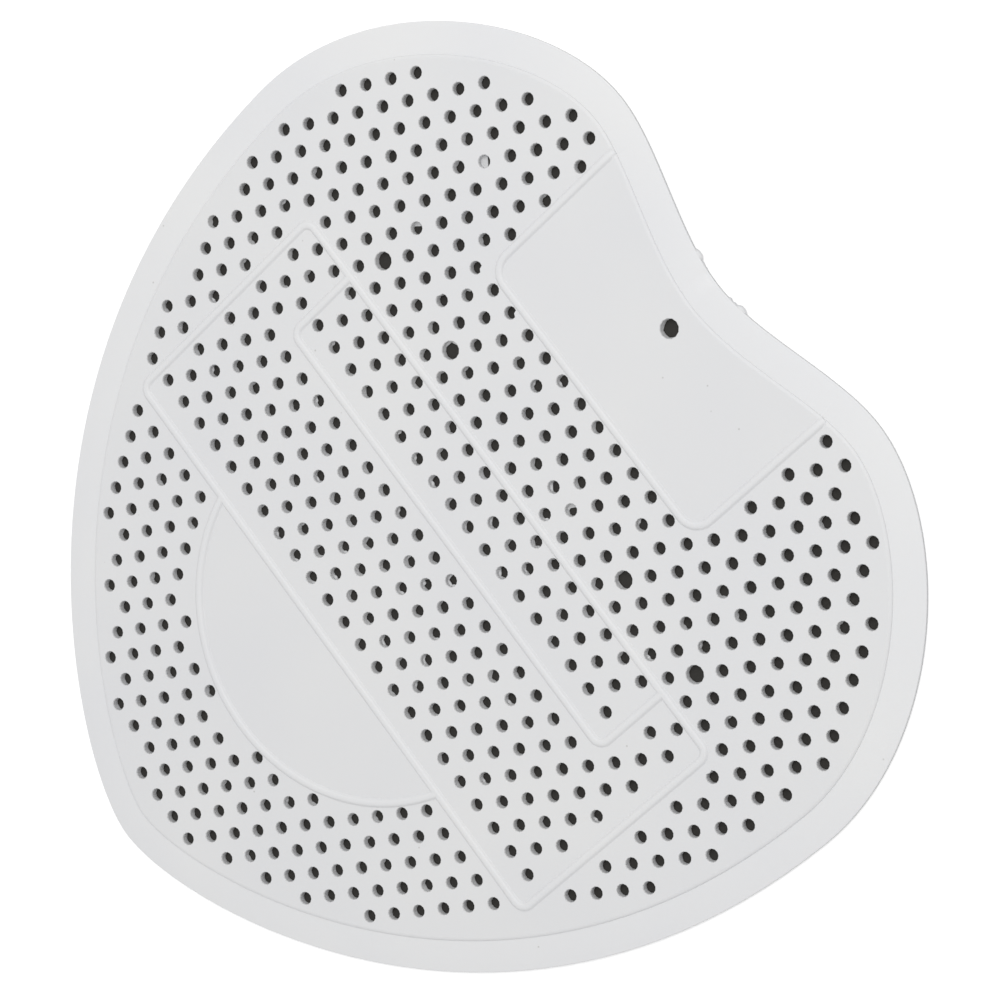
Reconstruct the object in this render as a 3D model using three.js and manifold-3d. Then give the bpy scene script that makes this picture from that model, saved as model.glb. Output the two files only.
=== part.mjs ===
// Urinal screen: one heart-shaped perforated mat, injection moulded in soft vinyl in a single shot.
// Millimetres, +Z up. It lies on its flat underside at z = 0, with the notch of the heart towards +Y.
import * as THREE from "three";
import * as BufferGeometryUtils from "three/addons/utils/BufferGeometryUtils.js";
import Module from "manifold-3d";

const wasm = await Module();
wasm.setup();

// Outline: half of the heart is three curves, from the notch over the lobe and the shoulder to the toe.
const overallWidth = 180.2;
const overallLength = 178.4;
const notchDepth = 7.6;
const lobeSpacing = 76.6;
const shoulderDrop = 56.9;
const notchReach = 12.2;
const lobeInnerReach = 11.5;
const lobeOuterReach = 21.5;
const shoulderUpperReach = 30.7;
const shoulderLowerReach = 83.7;
const toeReach = 19.5;

// Section: a plate, and a thinner rim around it that thins further towards its outer edge.
const plateThickness = 1.5;
const rimWidth = 6.2;
const rimInnerThickness = 1.1;
const rimEdgeThickness = 0.8;
const stepRun = 0.35;

// Raised ribs on the top face: their section, and the figures that they draw. Drops are measured
// down from the tops of the lobes, and insets inwards from the sides.
const ribHeight = 0.45;
const ribFootWidth = 1.7;
const ribCrestWidth = 0.8;
const frameInset = 25.95;
const frameDrop = 64.4;
const frameHeight = 50.5;
const frameCornerRadius = 2.2;
const troughInset = 14.1;
const troughDepth = 16.9;
const troughCornerRadius = 2.2;
const shieldWidth = 63.3;
const shieldDrop = 40.4;
const shieldCornerRadius = 4.1;
const moonRadius = 38.2;
const moonDepth = 26.4;

// Drain holes on a triangular lattice: a place of the lattice, and the plain margins it keeps.
const pitch = 5.5;
const latticeShift = -0.97;
const latticeDrop = 80.83;
const drainDiameter = 2.7;
const edgeMargin = 8.67;
const ribMargin = 2;

// Four of the lattice's holes are larger, and one more in the shield hangs the mat on a hook.
const largeDiameter = 3.8;
const largeRow = 5;
const largeColumns = [-8.5, -4.5, 5.5, 9.5];
const hangDiameter = 3.95;
const hangInset = 19.75;

// One place of the lattice at the left edge has no hole.
const blankRow = -3;
const blankColumn = -13.5;

// Facets that the round shapes are drawn with. The drain holes have the fewest, for their number.
const drainSides = 3;
const largeSides = 8;
const hangSides = 12;
const lobeSteps = 7;
const shoulderSteps = 14;
const flankSteps = 16;
const cornerSteps = 3;
const moonSteps = 16;
const marginDetail = 8;

// How far a cutter runs past a face, and a raised shape into the plate below it.
const overrun = 1;
const sink = 0.3;

// Least share of a side step at a sharp corner, which keeps the corner's point short.
const sharpestCorner = 0.5;

const lobeTop = overallLength / 2;
const toe = -overallLength / 2;
const notch = lobeTop - notchDepth;
const shoulder = lobeTop - shoulderDrop;
const lobeX = lobeSpacing / 2;
const shoulderX = overallWidth / 2;
const rowHeight = (pitch * Math.sqrt(3)) / 2;
const frameX = shoulderX - frameInset;
const frameTop = lobeTop - frameDrop;
const frameBottom = frameTop - frameHeight;

function solidFrom(geometry) {
  geometry.deleteAttribute("normal");
  geometry.deleteAttribute("uv");
  const merged = BufferGeometryUtils.mergeVertices(geometry, 1e-5);
  const mesh = new wasm.Mesh({
    numProp: 3,
    vertProperties: new Float32Array(merged.attributes.position.array),
    triVerts: new Uint32Array(merged.index.array),
  });
  return new wasm.Manifold(mesh);
}

function geometryFrom(solid) {
  const mesh = solid.getMesh();
  const geometry = new THREE.BufferGeometry();
  geometry.setAttribute("position", new THREE.BufferAttribute(new Float32Array(mesh.vertProperties), 3));
  geometry.setIndex(new THREE.BufferAttribute(new Uint32Array(mesh.triVerts), 1));
  geometry.computeVertexNormals();
  return geometry;
}

// The heart's edge, counter-clockwise, as points of a closed loop.
function heartOutline(detail) {
  const lobe = new THREE.CubicBezierCurve(
    new THREE.Vector2(0, notch),
    new THREE.Vector2(notchReach, notch),
    new THREE.Vector2(lobeX - lobeInnerReach, lobeTop),
    new THREE.Vector2(lobeX, lobeTop),
  );
  const shoulderCurve = new THREE.CubicBezierCurve(
    new THREE.Vector2(lobeX, lobeTop),
    new THREE.Vector2(lobeX + lobeOuterReach, lobeTop),
    new THREE.Vector2(shoulderX, shoulder + shoulderUpperReach),
    new THREE.Vector2(shoulderX, shoulder),
  );
  const flank = new THREE.CubicBezierCurve(
    new THREE.Vector2(shoulderX, shoulder),
    new THREE.Vector2(shoulderX, shoulder - shoulderLowerReach),
    new THREE.Vector2(toeReach, toe),
    new THREE.Vector2(0, toe),
  );
  const right = [
    ...lobe.getPoints(lobeSteps * detail).slice(0, -1),
    ...shoulderCurve.getPoints(shoulderSteps * detail).slice(0, -1),
    ...flank.getPoints(flankSteps * detail),
  ];
  const left = right.slice(1, -1).map((point) => new THREE.Vector2(-point.x, point.y));
  return [...left, ...right.reverse()];
}

// A step to the left at a point of a path, longer at a corner so that both sides stay parallel.
function sideStep(path, i, closed) {
  const count = path.length;
  const before = closed ? path[(i + count - 1) % count] : path[Math.max(i - 1, 0)];
  const after = closed ? path[(i + 1) % count] : path[Math.min(i + 1, count - 1)];
  const arriving = path[i].clone().sub(before).normalize();
  const leaving = after.clone().sub(path[i]).normalize();
  const along = arriving.clone().add(leaving).normalize();
  const share = along.dot(arriving.lengthSq() > 0 ? arriving : leaving);
  return new THREE.Vector2(-along.y, along.x).divideScalar(Math.max(share, sharpestCorner));
}

// The same loop moved inwards by a distance.
function insetLoop(loop, distance) {
  return loop.map((point, i) => point.clone().addScaledVector(sideStep(loop, i, true), distance));
}

// A solid of stacked loops: each level is a loop at its height, the lowest and the highest are closed.
function stackLoops(levels) {
  const count = levels[0].loop.length;
  const positions = levels.flatMap(({ loop, z }) => loop.flatMap((point) => [point.x, point.y, z]));
  const faces = [];
  for (let level = 0; level < levels.length - 1; level += 1) {
    for (let i = 0; i < count; i += 1) {
      const a = level * count + i;
      const b = level * count + ((i + 1) % count);
      faces.push(a, b, b + count, a, b + count, a + count);
    }
  }
  const lastStart = (levels.length - 1) * count;
  THREE.ShapeUtils.triangulateShape(levels[0].loop, []).forEach(([a, b, c]) => faces.push(a, c, b));
  THREE.ShapeUtils.triangulateShape(levels.at(-1).loop, []).forEach(([a, b, c]) => {
    faces.push(a + lastStart, b + lastStart, c + lastStart);
  });
  const geometry = new THREE.BufferGeometry();
  geometry.setAttribute("position", new THREE.Float32BufferAttribute(positions, 3));
  geometry.setIndex(faces);
  return solidFrom(geometry);
}

// A rib along a path: a low bar with sloping flanks, whose foot is sunk into the plate.
function rib(path, closed) {
  const count = path.length;
  const profile = [
    { across: ribFootWidth / 2, z: plateThickness - sink },
    { across: ribFootWidth / 2, z: plateThickness },
    { across: ribCrestWidth / 2, z: plateThickness + ribHeight },
    { across: -ribCrestWidth / 2, z: plateThickness + ribHeight },
    { across: -ribFootWidth / 2, z: plateThickness },
    { across: -ribFootWidth / 2, z: plateThickness - sink },
  ];
  const positions = [];
  path.forEach((point, i) => {
    const step = sideStep(path, i, closed);
    profile.forEach(({ across, z }) => positions.push(point.x + step.x * across, point.y + step.y * across, z));
  });
  const size = profile.length;
  const faces = [];
  const spans = closed ? count : count - 1;
  for (let i = 0; i < spans; i += 1) {
    for (let k = 0; k < size; k += 1) {
      const a = i * size + k;
      const b = i * size + ((k + 1) % size);
      const c = ((i + 1) % count) * size + ((k + 1) % size);
      const d = ((i + 1) % count) * size + k;
      faces.push(a, b, c, a, c, d);
    }
  }
  if (!closed) {
    const end = (count - 1) * size;
    for (let k = 1; k < size - 1; k += 1) {
      faces.push(0, k + 1, k, end, end + k, end + k + 1);
    }
  }
  const geometry = new THREE.BufferGeometry();
  geometry.setAttribute("position", new THREE.Float32BufferAttribute(positions, 3));
  geometry.setIndex(faces);
  return solidFrom(geometry);
}

// Points of a round corner about a centre, from one angle to another, in degrees.
function arc(centreX, centreY, radius, fromDegrees, toDegrees, steps) {
  return Array.from({ length: steps + 1 }, (_, i) => {
    const angle = THREE.MathUtils.degToRad(fromDegrees + ((toDegrees - fromDegrees) * i) / steps);
    return new THREE.Vector2(centreX + radius * Math.cos(angle), centreY + radius * Math.sin(angle));
  });
}

// The long frame across the mat: a closed rectangle with small round corners.
function framePath() {
  const x = frameX - frameCornerRadius;
  const high = frameTop - frameCornerRadius;
  const low = frameBottom + frameCornerRadius;
  return [
    ...arc(x, high, frameCornerRadius, 0, 90, cornerSteps),
    ...arc(-x, high, frameCornerRadius, 90, 180, cornerSteps),
    ...arc(-x, low, frameCornerRadius, 180, 270, cornerSteps),
    ...arc(x, low, frameCornerRadius, 270, 360, cornerSteps),
  ];
}

// The trough inside the frame: its two ends and its floor line, joined to the frame's top line.
function troughPath() {
  const x = frameX - troughInset;
  const low = frameTop - troughDepth + troughCornerRadius;
  return [
    new THREE.Vector2(-x, frameTop),
    ...arc(-x + troughCornerRadius, low, troughCornerRadius, 180, 270, cornerSteps),
    ...arc(x - troughCornerRadius, low, troughCornerRadius, 270, 360, cornerSteps),
    new THREE.Vector2(x, frameTop),
  ];
}

// The shield below the notch, whose sides run up to the edge of the plate.
function shieldPath(plateLoop) {
  const x = shieldWidth / 2;
  const low = lobeTop - shieldDrop + shieldCornerRadius;
  const top = heightAt(plateLoop, x);
  return [
    new THREE.Vector2(-x, top),
    ...arc(-x + shieldCornerRadius, low, shieldCornerRadius, 180, 270, cornerSteps),
    ...arc(x - shieldCornerRadius, low, shieldCornerRadius, 270, 360, cornerSteps),
    new THREE.Vector2(x, top),
  ];
}

// The half moon that hangs from the frame's bottom line.
function moonPath() {
  const centreY = frameBottom - moonDepth + moonRadius;
  const reach = THREE.MathUtils.radToDeg(Math.asin((frameBottom - centreY) / moonRadius));
  return arc(0, centreY, moonRadius, 180 - reach, 360 + reach, moonSteps);
}

// Height of a loop's upper side above a place on the X axis.
function heightAt(loop, x) {
  return Math.max(
    ...loop.map((point, i) => {
      const next = loop[(i + 1) % loop.length];
      const share = (x - point.x) / (next.x - point.x);
      return share >= 0 && share <= 1 ? point.y + (next.y - point.y) * share : -Infinity;
    }),
  );
}

// Distance from a place to the nearest stretch of a path.
function distanceTo(place, path, closed) {
  const spans = closed ? path.length : path.length - 1;
  let nearest = Infinity;
  for (let i = 0; i < spans; i += 1) {
    const start = path[i];
    const run = path[(i + 1) % path.length].clone().sub(start);
    const share = THREE.MathUtils.clamp(place.clone().sub(start).dot(run) / run.lengthSq(), 0, 1);
    nearest = Math.min(nearest, place.distanceTo(start.clone().addScaledVector(run, share)));
  }
  return nearest;
}

function isInside(place, loop) {
  let inside = false;
  loop.forEach((a, i) => {
    const b = loop[(i + 1) % loop.length];
    const crosses = a.y > place.y !== b.y > place.y;
    if (crosses && place.x < a.x + ((b.x - a.x) * (place.y - a.y)) / (b.y - a.y)) {
      inside = !inside;
    }
  });
  return inside;
}

// A straight through cutter whose flat-sided section has the open area of the round hole.
function holeCutter(place, diameter, sides) {
  const roundArea = (Math.PI * diameter * diameter) / 4;
  const radius = Math.sqrt(roundArea / ((sides / 2) * Math.sin((2 * Math.PI) / sides)));
  const depth = plateThickness + ribHeight + 2 * overrun;
  const cutter = new THREE.CylinderGeometry(radius, radius, depth, sides, 1);
  cutter.rotateX(Math.PI / 2);
  cutter.translate(place.x, place.y, depth / 2 - overrun);
  return solidFrom(cutter);
}

// Places of the lattice that hold a hole: clear of the edge and the ribs, and outside the plain panels.
function drainPlaces(ribs, panels) {
  const edge = heartOutline(marginDetail);
  const latticeY = lobeTop - latticeDrop;
  const places = [];
  const rows = Math.ceil(overallLength / rowHeight);
  const columns = Math.ceil(overallWidth / pitch);
  for (let row = -rows; row <= rows; row += 1) {
    for (let half = -2 * columns; half <= 2 * columns; half += 1) {
      const column = half / 2;
      if ((half + row) % 2 !== 0 || (row === blankRow && column === blankColumn)) {
        continue;
      }
      const place = new THREE.Vector2(latticeShift + column * pitch, latticeY + row * rowHeight);
      const clearOfEdge = isInside(place, edge) && distanceTo(place, edge, true) > edgeMargin;
      const clearOfRibs = ribs.every(({ path, closed }) => distanceTo(place, path, closed) > ribMargin);
      if (clearOfEdge && clearOfRibs && !panels.some((panel) => isInside(place, panel))) {
        const large = row === largeRow && largeColumns.includes(column);
        places.push({ place, large });
      }
    }
  }
  return places;
}

function buildScreen() {
  const outline = heartOutline(1);
  const stepFoot = insetLoop(outline, rimWidth);
  const plateEdge = insetLoop(outline, rimWidth + stepRun);
  const body = stackLoops([
    { loop: outline, z: 0 },
    { loop: outline, z: rimEdgeThickness },
    { loop: stepFoot, z: rimInnerThickness },
    { loop: plateEdge, z: plateThickness },
  ]);

  const shield = shieldPath(plateEdge);
  const moon = moonPath();
  const ribs = [
    { path: framePath(), closed: true },
    { path: troughPath(), closed: false },
    { path: shield, closed: false },
    { path: moon, closed: false },
  ];
  const shieldPanel = [...shield, new THREE.Vector2(0, overallLength)];
  const holes = drainPlaces(ribs, [shieldPanel, moon]);
  const cutters = holes.map(({ place, large }) =>
    large ? holeCutter(place, largeDiameter, largeSides) : holeCutter(place, drainDiameter, drainSides),
  );
  cutters.push(holeCutter(new THREE.Vector2(0, lobeTop - hangInset), hangDiameter, hangSides));

  const perforated = body.subtract(wasm.Manifold.union(cutters));
  const raised = wasm.Manifold.union(ribs.map(({ path, closed }) => rib(path, closed)));
  return perforated.add(raised);
}

const vinyl = new THREE.MeshStandardMaterial({ color: 0xe4e7ea, roughness: 0.48, metalness: 0 });
const screen = new THREE.Mesh(geometryFrom(buildScreen()), vinyl);
screen.name = "screen";

const part = new THREE.Group();
part.name = "urinal_screen";
part.add(screen);

export default part;
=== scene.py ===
import math
import random

import bpy
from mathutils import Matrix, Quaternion, Vector
from mathutils.geometry import intersect_point_line


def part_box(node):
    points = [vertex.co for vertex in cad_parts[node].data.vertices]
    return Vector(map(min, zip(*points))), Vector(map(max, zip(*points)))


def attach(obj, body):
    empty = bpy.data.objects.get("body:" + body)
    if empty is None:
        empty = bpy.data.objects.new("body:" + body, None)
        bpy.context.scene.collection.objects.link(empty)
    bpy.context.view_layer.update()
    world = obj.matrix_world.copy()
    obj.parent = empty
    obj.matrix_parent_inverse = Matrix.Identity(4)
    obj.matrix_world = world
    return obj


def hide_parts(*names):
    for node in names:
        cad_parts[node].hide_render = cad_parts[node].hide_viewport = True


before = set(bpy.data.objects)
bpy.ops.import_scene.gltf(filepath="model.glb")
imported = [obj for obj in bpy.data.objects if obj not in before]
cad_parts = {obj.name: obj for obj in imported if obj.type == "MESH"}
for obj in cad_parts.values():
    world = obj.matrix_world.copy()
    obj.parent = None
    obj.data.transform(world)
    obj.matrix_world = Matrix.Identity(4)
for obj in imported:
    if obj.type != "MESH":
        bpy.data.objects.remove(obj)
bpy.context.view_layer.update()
bpy.ops.object.select_all(action="DESELECT")

# The blank sheet: soft white vinyl shot in one go into a shallow heart-shaped mould.
# A thin rim runs all round it, thins towards its rounded edge, and meets the thicker
# plate inside it in a small rolled step. The underside is plain and flat.
MM = 0.001
low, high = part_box("screen")
lobe_top = high.y
toe = low.y
shoulder_x = high.x
notch = lobe_top - 7.6 * MM
shoulder = lobe_top - 56.9 * MM
lobe_x = 38.3 * MM
notch_reach = 12.2 * MM
lobe_inner_reach = 11.5 * MM
lobe_outer_reach = 21.5 * MM
shoulder_upper_reach = 30.7 * MM
shoulder_lower_reach = 83.7 * MM
toe_reach = 19.5 * MM
outline_steps = 48

plate_top = 1.5 * MM
rim_width = 6.2 * MM
rim_edge_top = 0.8 * MM
rim_inner_top = 1.1 * MM
step_run = 0.7 * MM
step_levels = 6
edge_roll = 0.2 * MM
edge_roll_levels = 4
foot_roll = 0.12 * MM


def draw_line(name, knots, closed, steps):
    """A Bezier line through knots: each is a place and the way to its two handles."""
    bpy.ops.curve.primitive_bezier_curve_add(location=(0, 0, 0))
    line = bpy.context.object
    line.name = name
    line.data.dimensions = "3D"
    line.data.twist_mode = "Z_UP"
    line.data.resolution_u = steps
    spline = line.data.splines[0]
    spline.bezier_points.add(len(knots) - 2)
    spline.use_cyclic_u = closed
    for point, (place, arriving, leaving) in zip(spline.bezier_points, knots):
        point.handle_left_type = "FREE"
        point.handle_right_type = "FREE"
        point.co = (*place, 0)
        point.handle_left = (place[0] + arriving[0], place[1] + arriving[1], 0)
        point.handle_right = (place[0] + leaving[0], place[1] + leaving[1], 0)
    return line


def points_along(line):
    """The places that a line runs through, in order."""
    shown = line.evaluated_get(bpy.context.evaluated_depsgraph_get())
    places = [vertex.co.to_2d() for vertex in shown.to_mesh().vertices]
    shown.to_mesh_clear()
    return places


heart_knots = [
    ((0, notch), (notch_reach, 0), (-notch_reach, 0)),
    ((-lobe_x, lobe_top), (lobe_inner_reach, 0), (-lobe_outer_reach, 0)),
    ((-shoulder_x, shoulder), (0, shoulder_upper_reach), (0, -shoulder_lower_reach)),
    ((0, toe), (-toe_reach, 0), (toe_reach, 0)),
    ((shoulder_x, shoulder), (0, -shoulder_lower_reach), (0, shoulder_upper_reach)),
    ((lobe_x, lobe_top), (lobe_outer_reach, 0), (-lobe_inner_reach, 0)),
]
outline = draw_line("mat", heart_knots, True, outline_steps)
outline_places = points_along(outline)
bpy.ops.object.convert(target="MESH")
mat = bpy.context.object

bpy.ops.object.mode_set(mode="EDIT")
bpy.ops.mesh.select_all(action="SELECT")
bpy.ops.mesh.edge_face_add()
bpy.ops.transform.translate(value=(0, 0, foot_roll))
wall_height = rim_edge_top - edge_roll - foot_roll
bpy.ops.mesh.extrude_region_move(TRANSFORM_OT_translate={"value": (0, 0, wall_height)})
bpy.ops.mesh.select_all(action="SELECT")
bpy.ops.mesh.normals_make_consistent(inside=False)


def select_level_face(which):
    """Selects only the mat's highest or lowest face, told by max or min."""
    bpy.ops.mesh.select_all(action="DESELECT")
    bpy.ops.object.mode_set(mode="OBJECT")
    which(mat.data.polygons, key=lambda face: face.center.z).select = True
    bpy.ops.object.mode_set(mode="EDIT")


def roll_over(run, rise, levels):
    """Insets the selected top face along a quarter round, from steep to level."""
    for level in range(levels):
        start = math.pi / 2 * level / levels
        end = math.pi / 2 * (level + 1) / levels
        bpy.ops.mesh.inset(
            thickness=run * (math.cos(start) - math.cos(end)),
            depth=rise * (math.sin(end) - math.sin(start)),
        )


select_level_face(max)
roll_over(edge_roll, edge_roll, edge_roll_levels)
bpy.ops.mesh.inset(
    thickness=rim_width - edge_roll, depth=rim_inner_top - rim_edge_top
)
roll_over(step_run, plate_top - rim_inner_top, step_levels)

select_level_face(min)
bpy.ops.mesh.inset(thickness=foot_roll, depth=foot_roll)
bpy.ops.object.mode_set(mode="OBJECT")

# The raised lines: low round ribs moulded on the plate, which stiffen the sheet.
# A long frame with a trough in it lies across the middle, a blank shield hangs from
# the notch above it, and a blank half-moon hangs from the frame below.
rib_crown = high.z - plate_top
rib_half_foot = 0.95 * MM
rib_sink = 0.3 * MM
rib_dip = 0.004 * MM
rib_shares = (-1, -0.9, -0.78, -0.65, -0.5, -0.28, 0, 0.28, 0.5, 0.65, 0.78, 0.9, 1)
rib_merge = 0.001 * MM
frame_x = shoulder_x - 25.95 * MM
frame_top = lobe_top - 64.4 * MM
frame_bottom = frame_top - 50.5 * MM
frame_corner = 2.2 * MM
trough_x = frame_x - 14.1 * MM
trough_bottom = frame_top - 16.9 * MM
trough_corner = 2.2 * MM
shield_x = 31.65 * MM
shield_bottom = lobe_top - 40.4 * MM
shield_corner = 4.1 * MM
shield_end_reach = 1.5 * MM
shield_step_lap = 0.7
moon_radius = 38.2 * MM
moon_centre_y = frame_bottom - 26.4 * MM + moon_radius
moon_spans = 4
moon_steps = 16
corner_steps = 7
quarter_round_handle = 0.5523


def corner_knots(corner, arriving, leaving, radius):
    """Two knots that round off a corner where a line turns to another heading."""
    handle = radius * quarter_round_handle
    corner, arriving, leaving = Vector(corner), Vector(arriving), Vector(leaving)
    return [
        (corner - arriving * radius, -arriving * handle, arriving * handle),
        (corner + leaving * radius, -leaving * handle, leaving * handle),
    ]


def end_knot(place):
    """A knot at the end of a straight run."""
    return (place, (0, 0), (0, 0))


right, left, up, down = (1, 0), (-1, 0), (0, 1), (0, -1)
frame_line = draw_line(
    "frame_rib",
    corner_knots((frame_x, frame_top), up, left, frame_corner)
    + corner_knots((-frame_x, frame_top), left, down, frame_corner)
    + corner_knots((-frame_x, frame_bottom), down, right, frame_corner)
    + corner_knots((frame_x, frame_bottom), right, up, frame_corner),
    True,
    corner_steps,
)
trough_line = draw_line(
    "trough_rib",
    [end_knot((-trough_x, frame_top))]
    + corner_knots((-trough_x, trough_bottom), down, right, trough_corner)
    + corner_knots((trough_x, trough_bottom), right, up, trough_corner)
    + [end_knot((trough_x, frame_top))],
    False,
    corner_steps,
)
edge_above_shield = [
    place.y for place in outline_places if abs(place.x) < shield_x + shield_end_reach
]
shield_top = max(edge_above_shield) - rim_width - step_run * shield_step_lap
shield_line = draw_line(
    "shield_rib",
    [end_knot((-shield_x, shield_top))]
    + corner_knots((-shield_x, shield_bottom), down, right, shield_corner)
    + corner_knots((shield_x, shield_bottom), right, up, shield_corner)
    + [end_knot((shield_x, shield_top))],
    False,
    corner_steps,
)
moon_reach = math.asin((frame_bottom - moon_centre_y) / moon_radius)
moon_turn = (math.pi + 2 * moon_reach) / moon_spans
moon_handle = moon_radius * 4 / 3 * math.tan(moon_turn / 4)
moon_knots = []
for span in range(moon_spans + 1):
    angle = math.pi - moon_reach + span * moon_turn
    out = Vector((math.cos(angle), math.sin(angle)))
    along = Vector((-out.y, out.x))
    place = Vector((0, moon_centre_y)) + out * moon_radius
    moon_knots.append((place, -along * moon_handle, along * moon_handle))
moon_line = draw_line("moon_rib", moon_knots, False, moon_steps)

rib_lines = [frame_line, trough_line, shield_line, moon_line]
rib_places = [points_along(line) for line in rib_lines]
ribs_closed = [True, False, False, False]

bpy.ops.curve.primitive_bezier_curve_add(location=(0, 0, 0))
rib_section = bpy.context.object
rib_section.name = "rib_section"
rib_section.data.splines.clear()
section_spline = rib_section.data.splines.new("POLY")
section_places = [(-rib_half_foot, -rib_sink)]
for share in rib_shares:
    crown = (1 + math.cos(math.pi * abs(share) ** 2)) / 2
    section_places.append((share * rib_half_foot, rib_crown * crown - rib_dip))
section_places.append((rib_half_foot, -rib_sink))
section_spline.points.add(len(section_places) - 1)
section_spline.use_cyclic_u = True
for point, (across, rise) in zip(section_spline.points, section_places):
    point.co = (across, rise, 0, 1)

ribs = []
for line in rib_lines:
    bpy.ops.object.select_all(action="DESELECT")
    line.select_set(True)
    bpy.context.view_layer.objects.active = line
    line.location.z = plate_top
    line.data.bevel_mode = "OBJECT"
    line.data.bevel_object = rib_section
    line.data.use_fill_caps = True
    bpy.ops.object.convert(target="MESH")
    bpy.ops.object.transform_apply()
    bpy.ops.object.mode_set(mode="EDIT")
    bpy.ops.mesh.select_all(action="SELECT")
    bpy.ops.mesh.remove_doubles(threshold=rib_merge)
    bpy.ops.mesh.normals_make_consistent(inside=False)
    bpy.ops.object.mode_set(mode="OBJECT")
    # The shield's two ends slope down into the plate where they meet the step.
    for vertex in line.data.vertices:
        if vertex.co.y > shield_top - rib_dip:
            vertex.co.z -= rib_crown
    ribs.append(line)
bpy.data.objects.remove(rib_section)

# The drain holes: formed by round pins in the mould, on a lattice of equal triangles.
# Each has a softly rounded mouth and narrows at the foot to a ragged lip of flash.
# Four are larger, and one more in the blank shield takes a hook.
random.seed(7)
pitch = 5.5 * MM
row_height = pitch * math.sqrt(3) / 2
lattice_x = -0.97 * MM
lattice_y = lobe_top - 80.83 * MM
edge_margin = 8.67 * MM
rib_margin = 2 * MM
blank_place = (-3, -13.5)
large_places = [(5, -8.5), (5, -4.5), (5, 5.5), (5, 9.5)]
drain_mouth = 1.35 * MM
large_mouth = 1.9 * MM
hook_mouth = 1.975 * MM
hook_y = lobe_top - 19.75 * MM
pin_sides = 12
# From the foot up: the height, and what the pin's radius there adds to the mouth's.
pin_levels = [
    (-0.5 * MM, -0.1 * MM),
    (0.14 * MM, -0.12 * MM),
    (0.34 * MM, -0.09 * MM),
    (1.1 * MM, -0.12 * MM),
    (1.36 * MM, -0.1 * MM),
    (1.504 * MM, 0.01 * MM),
    (2.6 * MM, 0.01 * MM),
]
lip_top = 0.2 * MM
lip_wobble = 0.02
lip_wobble_ragged = 0.1
ragged_reach = 50 * MM
hook_raggedness = 0.6
nick_chance = 0.08
nick_chance_ragged = 0.3
nick_headings = (170, 310)
nick_shares = (0.72, 0.9)
# By row and column: the heading in degrees from the centre to the flash, and how far
# from the centre the flash ends, as a share of the mouth.
flashed_places = {
    (11, -8.5): (233, -0.1),
    (7, -8.5): (143, 0.3),
    (7, -5.5): (135, 0.6),
    (5, -4.5): (120, 0.92),
    (5, 2.5): (150, 0.32),
    (5, 1.5): (225, 0.6),
    (1, 2.5): (233, 0.66),
}
whole = 3 * MM
# By row and column: the heading of the corner that is pushed in, the share of its
# radius that is left, and the height up to which it is pushed in.
nicked_places = {
    (7, -5.5): (165, 0.6, lip_top),
    (8, -6): (22, 0.66, whole),
    (8, -4): (28, 0.64, whole),
    (6, -6): (150, 0.8, whole),
    (5, -4.5): (196, 0.84, lip_top),
    (5, 2.5): (215, 0.6, lip_top),
    (3, 12.5): (185, 0.7, whole),
    (-1, -6.5): (222, 0.64, lip_top),
    (1, -2.5): (225, 0.7, lip_top),
}


def nearest(place, line, closed):
    """How far a place is from a line of places."""
    ends = line[1:] + line[:1] if closed else line[1:]
    distances = []
    for start, end in zip(line, ends):
        foot, share = intersect_point_line(place, start, end)
        foot = start if share < 0 else end if share > 1 else foot
        distances.append((place - foot.to_2d()).length)
    return min(distances)


def surrounds(line, place):
    """Whether a closed line of places runs round a place."""
    inside = False
    for start, end in zip(line, line[1:] + line[:1]):
        if (start.y > place.y) != (end.y > place.y):
            share = (place.y - start.y) / (end.y - start.y)
            if place.x < start.x + (end.x - start.x) * share:
                inside = not inside
    return inside


def make_pin(mouth):
    """A round pin that follows pin_levels, from below the sheet to above it."""
    bottom, first = pin_levels[0]
    radius = mouth + first
    bpy.ops.mesh.primitive_circle_add(
        vertices=pin_sides, radius=radius, fill_type="NGON", location=(0, 0, bottom)
    )
    pin = bpy.context.object
    bpy.ops.object.transform_apply()
    bpy.ops.object.mode_set(mode="EDIT")
    bpy.ops.mesh.select_all(action="SELECT")
    for height, narrowing in pin_levels[1:]:
        bpy.ops.mesh.extrude_region_move(
            TRANSFORM_OT_translate={"value": (0, 0, height - bottom)}
        )
        scale = (mouth + narrowing) / radius
        bpy.ops.transform.resize(value=(scale, scale, 1))
        bottom, radius = height, mouth + narrowing
    bpy.ops.mesh.select_all(action="SELECT")
    bpy.ops.mesh.normals_make_consistent(inside=False)
    bpy.ops.object.mode_set(mode="OBJECT")
    return pin


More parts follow.
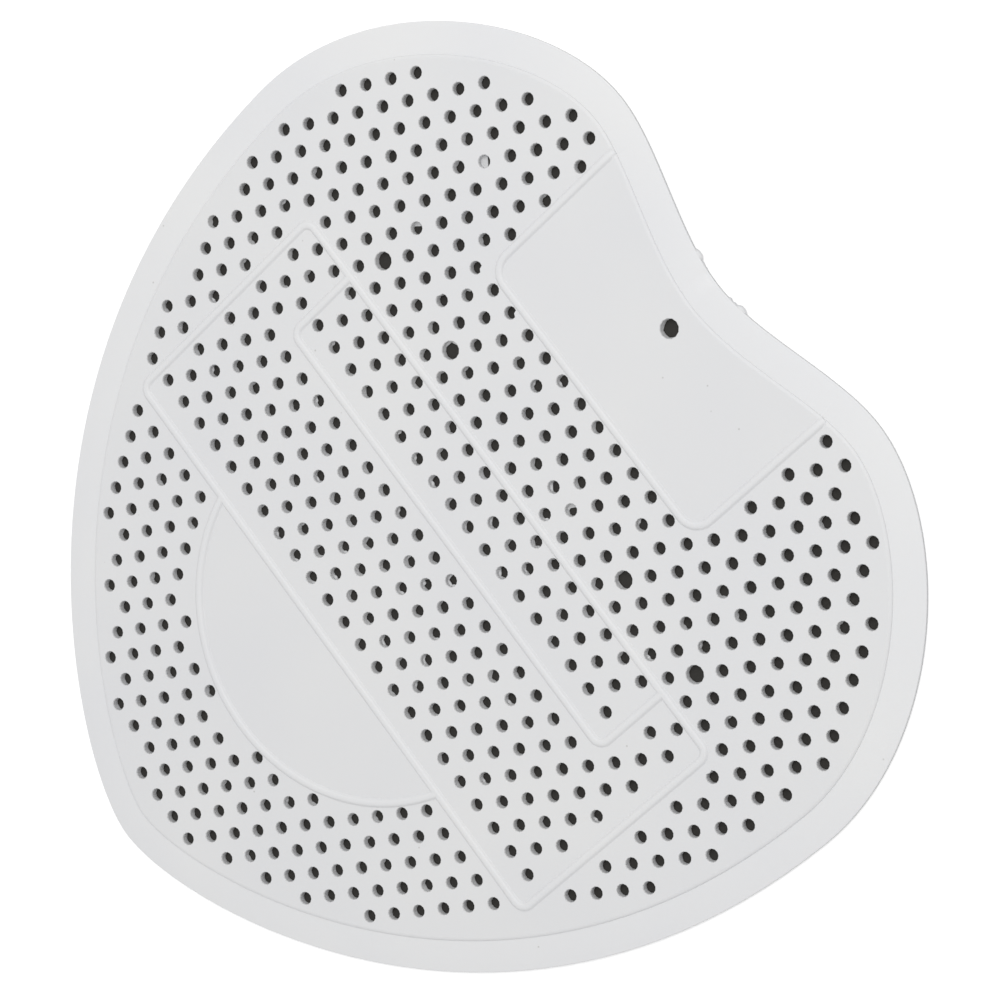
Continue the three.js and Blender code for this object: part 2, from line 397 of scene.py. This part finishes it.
def place_pin(pin, place, raggedness, flash, nick):
    """A copy of a pin at its place, with a foot as ragged as the flash that it leaves.

    A flash closes the hole's foot from one heading, up to a share of the radius from
    the centre. A nick pushes one corner in, from the foot up to a height.
    """
    copy = pin.copy()
    copy.data = pin.data.copy()
    bpy.context.collection.objects.link(copy)
    turn = random.uniform(0, 2 * math.pi)
    sides = {}
    for vertex in copy.data.vertices:
        angle = math.atan2(vertex.co.y, vertex.co.x)
        side = round(angle / (2 * math.pi) * pin_sides) % pin_sides
        if vertex.co.z < lip_top:
            if side not in sides:
                wobble = lip_wobble + lip_wobble_ragged * raggedness
                sides[side] = 1 - abs(random.gauss(0, wobble))
            vertex.co.x *= sides[side]
            vertex.co.y *= sides[side]
        x = vertex.co.x * math.cos(turn) - vertex.co.y * math.sin(turn)
        y = vertex.co.x * math.sin(turn) + vertex.co.y * math.cos(turn)
        if nick and vertex.co.z < nick[2]:
            off = math.atan2(y, x) - math.radians(nick[0])
            if math.cos(off) > math.cos(math.pi / pin_sides):
                x *= nick[1]
                y *= nick[1]
        if flash and vertex.co.z < lip_top:
            heading, reach = math.radians(flash[0]), flash[1] * drain_mouth
            beyond = x * math.cos(heading) + y * math.sin(heading) - reach * sides[side]
            x -= max(beyond, 0) * math.cos(heading)
            y -= max(beyond, 0) * math.sin(heading)
        vertex.co.x = x + place.x
        vertex.co.y = y + place.y
    return copy


drain_pin = make_pin(drain_mouth)
large_pin = make_pin(large_mouth)
hook_pin = make_pin(hook_mouth)
shield_panel = rib_places[2] + [Vector((0, 2 * lobe_top))]
moon_panel = rib_places[3]
pins = []
rows = int(2 * lobe_top / row_height)
columns = int(2 * shoulder_x / pitch)
for row in range(-rows, rows + 1):
    for half_column in range(-2 * columns, 2 * columns + 1):
        column = half_column / 2
        if (half_column + row) % 2 or (row, column) == blank_place:
            continue
        place = Vector((lattice_x + column * pitch, lattice_y + row * row_height))
        if not surrounds(outline_places, place):
            continue
        if nearest(place, outline_places, True) < edge_margin:
            continue
        if surrounds(shield_panel, place) or surrounds(moon_panel, place):
            continue
        rib_gaps = [nearest(place, *rib) for rib in zip(rib_places, ribs_closed)]
        if min(rib_gaps) < rib_margin:
            continue
        pin = large_pin if (row, column) in large_places else drain_pin
        raggedness = math.exp(-((place.length / ragged_reach) ** 2))
        flash = flashed_places.get((row, column))
        nick = nicked_places.get((row, column))
        chance = nick_chance + nick_chance_ragged * raggedness
        if not nick and random.random() < chance:
            nick = (
                random.uniform(*nick_headings),
                random.uniform(*nick_shares),
                lip_top,
            )
        pins.append(place_pin(pin, place, raggedness, flash, nick))
pins.append(place_pin(hook_pin, Vector((0, hook_y)), hook_raggedness, None, None))
for spare in (drain_pin, large_pin, hook_pin):
    bpy.data.objects.remove(spare)

bpy.ops.object.select_all(action="DESELECT")
for pin in pins:
    pin.select_set(True)
bpy.context.view_layer.objects.active = pins[0]
bpy.ops.object.join()
pins = bpy.context.object


def combine(tool, operation):
    """Cuts a tool out of the mat, or joins it on."""
    bpy.ops.object.select_all(action="DESELECT")
    mat.select_set(True)
    bpy.context.view_layer.objects.active = mat
    bpy.ops.object.modifier_add(type="BOOLEAN")
    cut = mat.modifiers[-1]
    cut.operation = operation
    cut.solver = "MANIFOLD"
    cut.object = tool
    bpy.ops.object.modifier_apply(modifier=cut.name)
    bpy.data.objects.remove(tool)


combine(pins, "DIFFERENCE")
for rib in ribs:
    combine(rib, "UNION")

# The gate's remains: the melt came in at the notch through a flat tab, which was cut
# off by hand. Ragged scraps of it stand out from the edge at the tab's two ends, and
# the blade took a shallow slanted bite out of the rim between them.
scrap_sides = 20
scrap_height = 0.66 * MM
scrap_wobble = 0.05
bite_place = (-1.6 * MM, notch + 1.1 * MM, 1.5 * MM)
bite_half_size = (4.2 * MM, 2.9 * MM, 0.95 * MM)
# In millimetres and degrees: the scrap's place across the notch and out from it, its
# half length and half width, its turn, and how much of its size its top keeps.
scraps = [
    ((-7.1, -0.1), (1.75, 1.3), 12, 0.62),
    ((-5.0, -0.35), (0.8, 0.9), 8, 0.6),
    ((-3.9, -0.45), (0.5, 0.8), 0, 0.6),
    ((3.4, -0.45), (0.8, 0.85), -4, 0.6),
    ((4.6, -0.3), (0.8, 0.85), -8, 0.6),
    ((6.5, -0.15), (1.7, 1.3), -12, 0.62),
]
for (across, out), (half_length, half_width), turn, taper in scraps:
    bpy.ops.mesh.primitive_cone_add(
        vertices=scrap_sides,
        radius1=1,
        radius2=taper,
        depth=scrap_height,
        location=(across * MM, notch + out * MM, scrap_height / 2 + foot_roll),
        rotation=(0, 0, math.radians(turn)),
    )
    scrap = bpy.context.object
    scrap.scale = (half_length * MM, half_width * MM, 1)
    bpy.ops.object.transform_apply()
    for vertex in scrap.data.vertices:
        vertex.co.x += random.uniform(-scrap_wobble, scrap_wobble) * MM
        vertex.co.y += random.uniform(-scrap_wobble, scrap_wobble) * MM
    combine(scrap, "UNION")

bpy.ops.mesh.primitive_uv_sphere_add(
    segments=24, ring_count=12, radius=1, location=bite_place
)
bite = bpy.context.object
bite.scale = bite_half_size
bpy.ops.object.transform_apply()
combine(bite, "DIFFERENCE")

# The finished mat, as it leaves the mould: its rolled edges are smooth, and its level
# faces stay flat, so that no shading runs across the plate from hole to hole.
mat_merge = 0.002 * MM
smooth_angle = math.radians(50)
level_share = 0.9999
bpy.ops.object.mode_set(mode="EDIT")
bpy.ops.mesh.select_all(action="SELECT")
bpy.ops.mesh.remove_doubles(threshold=mat_merge)
bpy.ops.object.mode_set(mode="OBJECT")
bpy.ops.object.shade_smooth_by_angle(angle=smooth_angle)
for face in mat.data.polygons:
    face.use_smooth = abs(face.normal.z) < level_share

# The vinyl itself: satin white, faintly blue, with a fine moulded grain, a slow
# cloudiness from the flow of the melt, and a few specks of dust pressed into it.
cloud_scale = 28
speck_scale = 120
grain_scale = 2500
grain_depth = 0.02 * MM
tint_height = 2 * MM
vinyl = bpy.data.materials.new("white_vinyl")
vinyl.use_nodes = True
nodes = vinyl.node_tree.nodes
links = vinyl.node_tree.links
shader = nodes["Principled BSDF"]
shader.inputs["Roughness"].default_value = 0.5
shader.inputs["IOR"].default_value = 1.5
shader.inputs["Subsurface Weight"].default_value = 0.12
shader.inputs["Subsurface Radius"].default_value = (0.9, 0.85, 0.8)
shader.inputs["Subsurface Scale"].default_value = 0.6 * MM
coordinates = nodes.new("ShaderNodeTexCoord")
place_on_mat = coordinates.outputs["Object"]
surface_normal = coordinates.outputs["Normal"]


def noise(scale, detail, roughness):
    """A noise over the mat, with its scale per metre."""
    node = nodes.new("ShaderNodeTexNoise")
    node.inputs["Scale"].default_value = scale
    node.inputs["Detail"].default_value = detail
    node.inputs["Roughness"].default_value = roughness
    links.new(place_on_mat, node.inputs["Vector"])
    return node.outputs["Fac"]


def ramp(value, stops):
    """A colour ramp with stops of place and colour."""
    node = nodes.new("ShaderNodeValToRGB")
    while len(node.color_ramp.elements) < len(stops):
        node.color_ramp.elements.new(0.5)
    for element, (position, colour) in zip(node.color_ramp.elements, stops):
        element.position = position
        element.color = (*colour, 1)
    links.new(value, node.inputs["Fac"])
    return node.outputs["Color"]


def height_along(outlet, scale):
    """The upward share of a vector, scaled."""
    parts = nodes.new("ShaderNodeSeparateXYZ")
    links.new(outlet, parts.inputs["Vector"])
    scaled = nodes.new("ShaderNodeMath")
    scaled.operation = "MULTIPLY"
    scaled.inputs[1].default_value = scale
    links.new(parts.outputs["Z"], scaled.inputs[0])
    return scaled.outputs["Value"]


def tinted(colour, tint):
    """A colour times a tint."""
    product = nodes.new("ShaderNodeVectorMath")
    product.operation = "MULTIPLY"
    links.new(colour, product.inputs[0])
    links.new(tint, product.inputs[1])
    return product.outputs["Vector"]


def grey(share):
    """A plain grey."""
    return (share, share, share)


cloud = ramp(
    noise(cloud_scale, 2, 0.45),
    [(0.3, (0.748, 0.752, 0.766)), (0.7, (0.772, 0.774, 0.776))],
)
# By height, as a share of tint_height, light and shade are painted in: the lowest
# faces, at the feet of the holes, the scraps and the edge, get painted shade, and the
# plate and its ribs are painted a shade darker than the thin rim, the ribs a little
# lighter than the plate.
painted_light_by_height = ramp(
    height_along(place_on_mat, 1 / tint_height),
    [
        (0.15, grey(0.86)),
        (0.25, grey(1)),
        (0.575, grey(1)),
        (0.73, grey(0.958)),
        (0.8, grey(0.96)),
        (0.95, grey(0.972)),
    ],
)
# By how far a face looks up: painted shade that darkens the steep walls of the holes
# and of the edge.
painted_shade_by_steepness = ramp(
    height_along(surface_normal, 1),
    [(0.05, grey(0.82)), (0.3, grey(0.92)), (0.75, grey(1))],
)
spots = nodes.new("ShaderNodeTexVoronoi")
spots.inputs["Scale"].default_value = speck_scale
links.new(place_on_mat, spots.inputs["Vector"])
speck_tint = ramp(
    spots.outputs["Distance"],
    [(0.012, (0.74, 0.73, 0.71)), (0.03, grey(1))],
)
colour = tinted(tinted(tinted(cloud, painted_light_by_height), painted_shade_by_steepness), speck_tint)
links.new(colour, shader.inputs["Base Color"])
grain = nodes.new("ShaderNodeBump")
grain.inputs["Strength"].default_value = 0.25
grain.inputs["Distance"].default_value = grain_depth
links.new(noise(grain_scale, 3, 0.6), grain.inputs["Height"])
links.new(grain.outputs["Normal"], shader.inputs["Normal"])
mat.data.materials.clear()
mat.data.materials.append(vinyl)

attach(mat, "root")
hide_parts("screen")

# The set: a plain white floor, and under the mat a dark sheet that shows only
# through its holes.
floor_size = 6
floor_glow = 0.35
floor_gap = 0.15 * MM
shade_gap = 0.07 * MM
shade_size = 0.94
bpy.ops.mesh.primitive_plane_add(size=floor_size, location=(0, 0, -floor_gap))
floor = bpy.context.object
floor.name = "floor"
floor_paint = bpy.data.materials.new("floor_paint")
floor_paint.use_nodes = True
floor_nodes = floor_paint.node_tree.nodes
floor_links = floor_paint.node_tree.links
floor_shader = floor_nodes["Principled BSDF"]
floor_shader.inputs["Base Color"].default_value = (0.8, 0.8, 0.8, 1)
floor_shader.inputs["Roughness"].default_value = 0.9
floor_shader.inputs["Emission Color"].default_value = (1, 1, 1, 1)
ray = floor_nodes.new("ShaderNodeLightPath")
seen = floor_nodes.new("ShaderNodeMath")
seen.operation = "MAXIMUM"
floor_links.new(ray.outputs["Is Camera Ray"], seen.inputs[0])
floor_links.new(ray.outputs["Is Glossy Ray"], seen.inputs[1])
lift = floor_nodes.new("ShaderNodeMath")
lift.operation = "MULTIPLY"
lift.inputs[1].default_value = floor_glow
floor_links.new(seen.outputs[0], lift.inputs[0])
floor_links.new(lift.outputs[0], floor_shader.inputs["Emission Strength"])
floor.data.materials.append(floor_paint)

shade = draw_line("under_shade", heart_knots, True, outline_steps)
bpy.ops.object.select_all(action="DESELECT")
shade.select_set(True)
bpy.ops.object.convert(target="MESH")
bpy.ops.object.mode_set(mode="EDIT")
bpy.ops.mesh.select_all(action="SELECT")
bpy.ops.mesh.edge_face_add()
bpy.ops.object.mode_set(mode="OBJECT")
shade.scale = (shade_size, shade_size, 1)
shade.location.z = -shade_gap
shade_paint = bpy.data.materials.new("shade_paint")
shade_paint.use_nodes = True
shade_shader = shade_paint.node_tree.nodes["Principled BSDF"]
shade_shader.inputs["Base Color"].default_value = (0.035, 0.033, 0.03, 1)
shade_shader.inputs["Roughness"].default_value = 1
shade.data.materials.append(shade_paint)

# The light: a plain white room all round, and one broad soft lamp high up beyond
# the lobes, which gives the ribs and the holes their gentle shading.
room_strength = 0.65
lamp_place = Vector((-0.17, 0.39, 0.92))
lamp_size = 0.7
lamp_power = 4.6
world = bpy.context.scene.world or bpy.data.worlds.new("World")
bpy.context.scene.world = world
world.use_nodes = True
sky = world.node_tree.nodes["Background"]
sky.inputs["Color"].default_value = (1, 1, 1, 1)
sky.inputs["Strength"].default_value = room_strength

bpy.ops.object.light_add(type="AREA", location=lamp_place)
lamp = bpy.context.object
lamp.name = "lamp"
lamp.data.shape = "SQUARE"
lamp.data.size = lamp_size
lamp.data.energy = lamp_power
lamp.rotation_mode = "QUATERNION"
lamp.rotation_quaternion = (-lamp_place).to_track_quat("-Z", "Y")

# The camera looks down on the mat from the side of the lobes, turned about its own
# axis so that the heart lies askew in the picture.
camera_place = Vector((0.13807, 0.269245, 0.54275))
camera_aim = Vector((0.002169, 0.021883, 0.0015))
camera_roll = math.radians(-100.828)
camera_lens = 117.17
camera_sensor = 36
bpy.ops.object.camera_add(location=camera_place)
camera = bpy.context.object
camera.name = "camera"
camera.data.lens = camera_lens
camera.data.sensor_width = camera_sensor
camera.rotation_mode = "QUATERNION"
camera_facing = (camera_aim - camera_place).to_track_quat("-Z", "Y")
camera.rotation_quaternion = camera_facing @ Quaternion((0, 0, 1), camera_roll)
bpy.context.scene.camera = camera
bpy.context.scene.view_settings.view_transform = "Standard"
